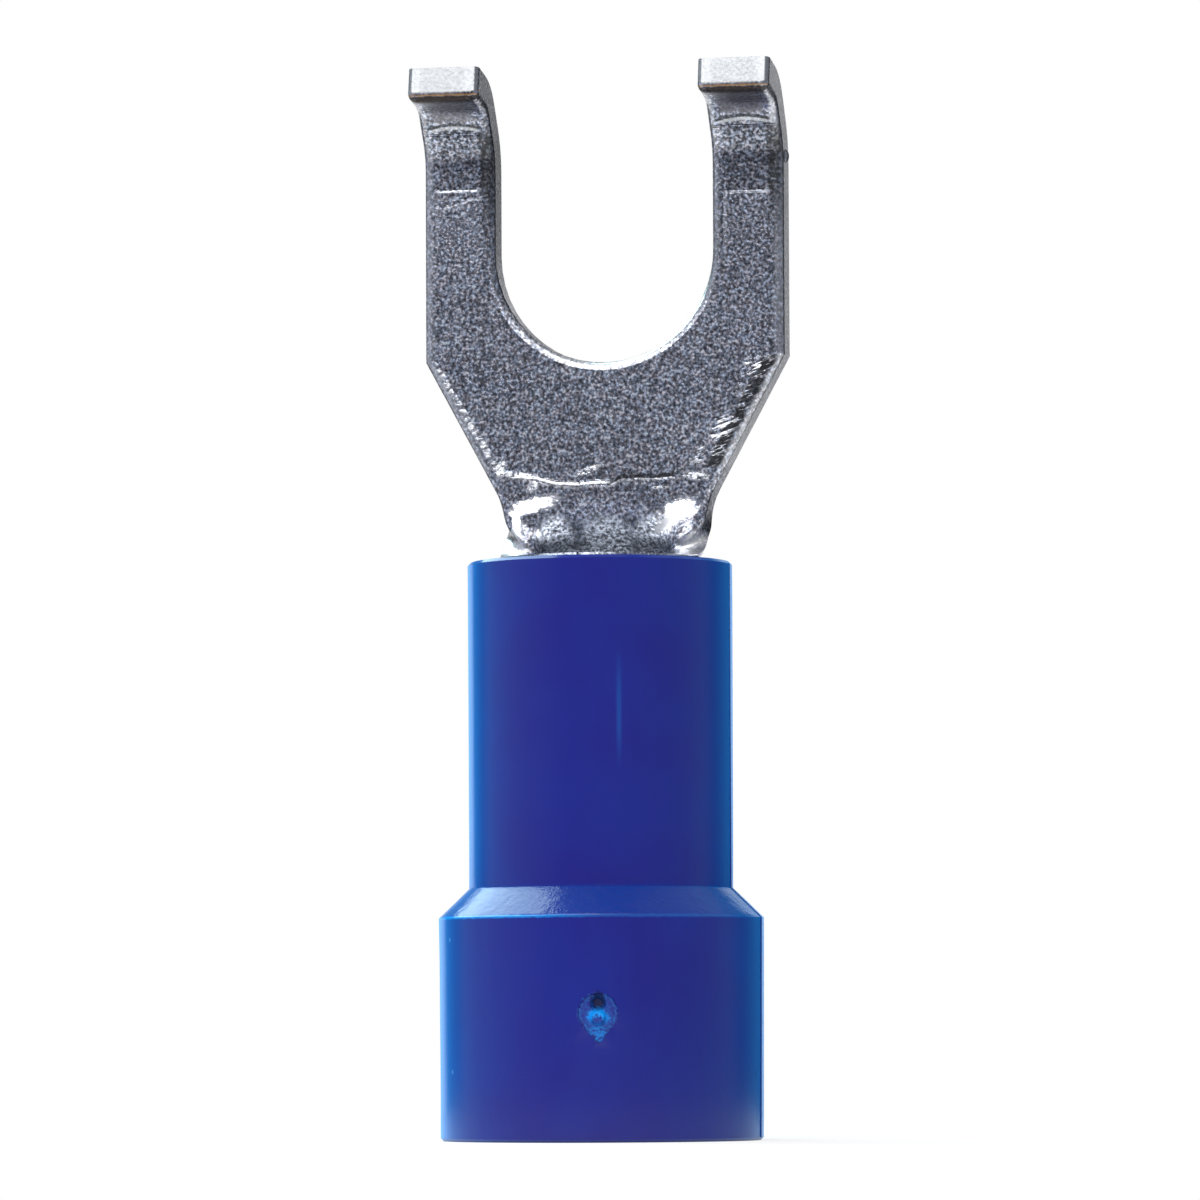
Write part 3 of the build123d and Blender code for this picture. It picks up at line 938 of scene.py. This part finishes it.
# The hollow's painted shadow.
HOLLOW_SHADOW_VINYL = (0.003, 0.0, 0.030, 1.0)
DUSTY_VINYL = (0.15, 0.45, 0.80, 1.0)


def grip_streak(x, y, z):
    """The faint streak down the grip's front."""
    across = x * cos(STREAK_TURN) + y * sin(STREAK_TURN)
    streak = across.within(*STREAK_LINE) * (1 - y.step(*STREAK_DEPTH))
    return streak * z.step(*STREAK_FOOT) * (1 - z.step(*STREAK_HEAD))


def vinyl_colour(recipe, place, ragged, on_shoulder):
    """The dyed vinyl with its marks, apart from the gate's, and the painted highlight along the
    shoulder's edge.
    """
    x, y, z = recipe.split(place)
    clouds = recipe.noise(place, VINYL_CLOUDS_PER_MM)
    base = recipe.mix(clouds.step(*VINYL_CLOUDED), VINYL, CLEAR_VINYL)
    base = recipe.mix(on_shoulder, base, SHOULDER_VINYL)
    # A painted highlight along the edge between skirt and shoulder.
    line = (z - SHOULDER_EDGE + (ragged - 0.5) * EDGE_LINE_WANDER).within(*EDGE_LINE)
    line = line * (EDGE_LINE_BRIGHT - EDGE_LINE_FADE * x.step(*EDGE_LINE_FADES))
    base = recipe.mix(line, base, TORN_VINYL_AND_HIGHLIGHT)
    return recipe.mix(grip_streak(x, y, z) * STREAK_SHARE, base, TORN_VINYL_AND_HIGHLIGHT)


def dusted(recipe, place, base):
    """The colour with the specks of dust on it."""
    for speck in DUST:
        away = recipe.vector("DISTANCE", place, speck, output=1)
        base = recipe.mix((1 - away.step(*DUST_SIZE)) * DUST_SHARE, base, DUSTY_VINYL)
    return base


print(len(DUST), "specks of dust")

# %% [markdown]
# The sleeve is glossy, and bluer where the wall turns away and light comes through it. Real
# scattering inside the vinyl could be traced, but that is slow and grainy in a thin wall. A
# tinted sheen gives the same blue edge at once. The shoulder's bump is coarser than the rest,
# because its shine is uneven.

# %% Blue vinyl
SHEEN_TINT = (0.0, 0.36, 0.92, 1.0)
HOLLOW_SHARE = 0.9
DUST_PER_MM = 9.0
RAGGED_PER_MM = 5.0
RIPPLE_STRETCH = (1.4, 1.4, 0.25)
SHOULDER_BUMP = 2.8
SHIELD_BUMP = 3.0
DUST_BUMP = 0.06
RIPPLE_DEPTH = 0.02 * MM
RIPPLE_STRENGTH = 0.25
VINYL_ROUGHNESS = 0.10
DUST_ROUGHNESS = 0.06
SHIELD_ROUGHNESS = 0.3


def blue_vinyl():
    """The finish of the sleeve."""
    material = bpy.data.materials.new("blue_vinyl")
    recipe = Recipe(material)
    place = recipe.millimetres()
    z = recipe.split(place)[2]
    ripple = recipe.noise(recipe.millimetres(RIPPLE_STRETCH), 1.0)
    dust = recipe.noise(place, DUST_PER_MM, 3.0, 0.6)
    ragged = recipe.noise(place, RAGGED_PER_MM, 3.0, 0.7)
    on_shoulder = z.step(SHOULDER_EDGE, SHOULDER_EDGE + SHOULDER_SOFT)
    on_shoulder = on_shoulder * (1 - z.step(SHOULDER_TOP, SHOULDER_TOP + SHOULDER_SOFT))
    torn, hollow, shield = gate_marks(recipe, place)
    # Torn flecks and the stub's painted highlight, then the hollow's painted shadow.
    base = recipe.mix(torn, vinyl_colour(recipe, place, ragged, on_shoulder), TORN_VINYL_AND_HIGHLIGHT)
    base = recipe.mix(hollow * HOLLOW_SHARE, base, HOLLOW_SHADOW_VINYL)
    height = ripple + dust * DUST_BUMP + ragged * on_shoulder * SHOULDER_BUMP
    relief = {
        "Strength": RIPPLE_STRENGTH,
        "Distance": RIPPLE_DEPTH,
        "Height": height + shield * dust * SHIELD_BUMP,
    }
    inputs = {
        "Base Color": dusted(recipe, place, base),
        "Roughness": VINYL_ROUGHNESS + DUST_ROUGHNESS * dust + SHIELD_ROUGHNESS * shield,
        "IOR": 1.50,
        "Specular IOR Level": 0.35,
        "Sheen Weight": 1.0,
        "Sheen Roughness": 0.42,
        "Sheen Tint": SHEEN_TINT,
        "Normal": recipe.node("ShaderNodeBump", inputs=relief),
    }
    recipe.finish(recipe.node("ShaderNodeBsdfPrincipled", inputs=inputs))
    print(material.name, "has", len(recipe.tree.nodes), "nodes")
    return material


vinyl_finish = blue_vinyl()

# %% [markdown]
# Each solid came with a plain stand-in material. A copy of the piece could be made to carry the
# new one, but the solid's shape is right, so its own material slot is filled again.

# %% Put the finishes on
for piece, finish in ((terminal, tin_finish), (sleeve, vinyl_finish)):
    piece.data.materials.clear()
    piece.data.materials.append(finish)
    print(piece.name, "wears", finish.name, "on", len(piece.data.polygons), "faces")

# %% [markdown]
# The studio is a small white table in a white tent. More lamps could make the table white, but
# they would bleach the object too. So its white is a glow that only the camera, reflections and
# clear things see, and the light that it gives the object stays low. The object's shadow still
# falls on the table, and towards the rim the table fades into the tent.

# %% Table
TABLE_REACH = 42 * MM
TABLE_GLOW = 0.75
TABLE_FADE = (12, 36)
TABLE_WHITE = grey(0.85)
PURE_WHITE = grey(1.0)

table_mesh = bpy.data.meshes.new("table")
table_sheet = bmesh.new()
bmesh.ops.create_circle(table_sheet, cap_ends=True, segments=96, radius=TABLE_REACH)
table_sheet.to_mesh(table_mesh)
table_sheet.free()


def white_table():
    """The finish of the table, which glows white towards its rim."""
    material = bpy.data.materials.new("studio_white")
    recipe = Recipe(material)
    away = recipe.vector("LENGTH", recipe.millimetres(), output=1)
    share = TABLE_GLOW + (1 - TABLE_GLOW) * away.step(*TABLE_FADE)
    lit = recipe.node("ShaderNodeBsdfDiffuse", inputs={"Color": TABLE_WHITE})
    glow = recipe.node("ShaderNodeEmission", inputs={"Color": PURE_WHITE, "Strength": 1.0})
    seen = recipe.seen_by("Camera", "Glossy", "Transmission")
    recipe.finish(recipe.node("ShaderNodeMixShader", inputs={0: seen * share, 1: lit, 2: glow}))
    return material


table_mesh.materials.append(white_table())
table = bpy.data.objects.new("table", table_mesh)
bpy.context.scene.collection.objects.link(table)
print("table", TABLE_REACH / MM, "mm to its rim")

# %% [markdown]
# A small shiny thing shows the room around it, so the tent is what gives the metal its form. An
# even grey world would light it, but leave it flat. So panels stand round the object: white
# behind it, black cloth at the back left and the back right, a brighter grey to the left and
# a middling one in front and to the right. The roof is grey, and a dark curtain hangs high at
# the back left. Azimuth 0 is in front of the fork and grows to the right.

# %% Tent
PANELS = (
    (-180, 1.00),
    (-139, 1.00),
    (-131, 0.08),
    (-112, 0.08),
    (-100, 0.45),
    (-75, 0.60),
    (-45, 0.50),
    (-20, 0.32),
    (110, 0.36),
    (130, 0.05),
    (164, 0.05),
    (172, 1.00),
    (180, 1.00),
)
TENT_TINT = (0.92, 0.97, 1.10)
ROOF = grey(0.50)
ROOF_HEIGHT = (0.50, 0.72)
CURTAIN = grey(0.10)
CURTAIN_HEIGHT = (0.10, 0.30)
CURTAIN_EDGE = (radians(-135), radians(-125))


def panel_colour(value):
    """White panels are pure white, and the greyer ones are a little blue."""
    return grey(value) if value == 1 else (*(value * part for part in TENT_TINT), 1.0)


world = bpy.data.worlds.new("studio")
bpy.context.scene.world = world
tent = Recipe(world)
across, back, up = tent.split(tent.node("ShaderNodeTexCoord", output="Generated"))
azimuth = across.math("ARCTAN2", -back)
stops = [((turn + 180) / 360, panel_colour(value)) for turn, value in PANELS]
panels = tent.node("ShaderNodeValToRGB", {"stops": stops}, {"Fac": azimuth / (2 * pi) + 0.5})
curtain = up.step(*CURTAIN_HEIGHT) * (1 - azimuth.step(*CURTAIN_EDGE))
panels = tent.mix(curtain, panels, CURTAIN)
roofed = tent.mix(up.step(*ROOF_HEIGHT), panels, ROOF)
seen_white = tent.mix(tent.seen_by("Camera", "Transmission"), roofed, PURE_WHITE)
background = tent.node("ShaderNodeBackground", inputs={"Color": seen_white, "Strength": 1.0})
tent.node("ShaderNodeOutputWorld", inputs={"Surface": background})
print("tent of", len(PANELS), "stops, and", len(tent.tree.nodes), "nodes")

# %% [markdown]
# Three softboxes light the object, as in a product studio. A large one high in front is the key,
# a cyan one high at the back left draws the shine on the shoulder, and a weak one fills the
# right. Lamps could be set by their power, but a softbox that moves or grows would then need a
# new one. So the power is worked out from how bright its face is.

# %% Lamps
WHITE_LIGHT = (1, 1, 1)
CYAN_LIGHT = (0.72, 1.0, 1.04)
LIT_POINT = Vector((0, 0, 12 * MM))


def softbox(name, direction, away, width, height, radiance, tint=WHITE_LIGHT, glossy=True):
    """A rectangular lamp that faces the object: how far away, how wide and how high in mm."""
    lamp_data = bpy.data.lights.new(name, "AREA")
    lamp_data.shape = "RECTANGLE"
    lamp_data.size = width * MM
    lamp_data.size_y = height * MM
    lamp_data.energy = radiance * pi * (width * MM) * (height * MM)
    lamp_data.color = tint
    lamp = bpy.data.objects.new(name, lamp_data)
    bpy.context.scene.collection.objects.link(lamp)
    aim = Vector(direction).normalized()
    lamp.location = LIT_POINT + aim * away * MM
    lamp.rotation_euler = aim.to_track_quat("Z", "Y").to_euler()
    lamp.visible_glossy = glossy
    print(name, "lamp", round(lamp_data.energy, 3), "W")


softbox("back left", (-0.56, 0.38, 0.74), 150, 100, 130, radiance=5.8, tint=CYAN_LIGHT)
softbox("front", (-0.10, -0.62, 0.78), 200, 250, 220, radiance=2.4)
softbox("fill", (0.55, -0.83, 0.10), 200, 180, 160, radiance=0.3, glossy=False)
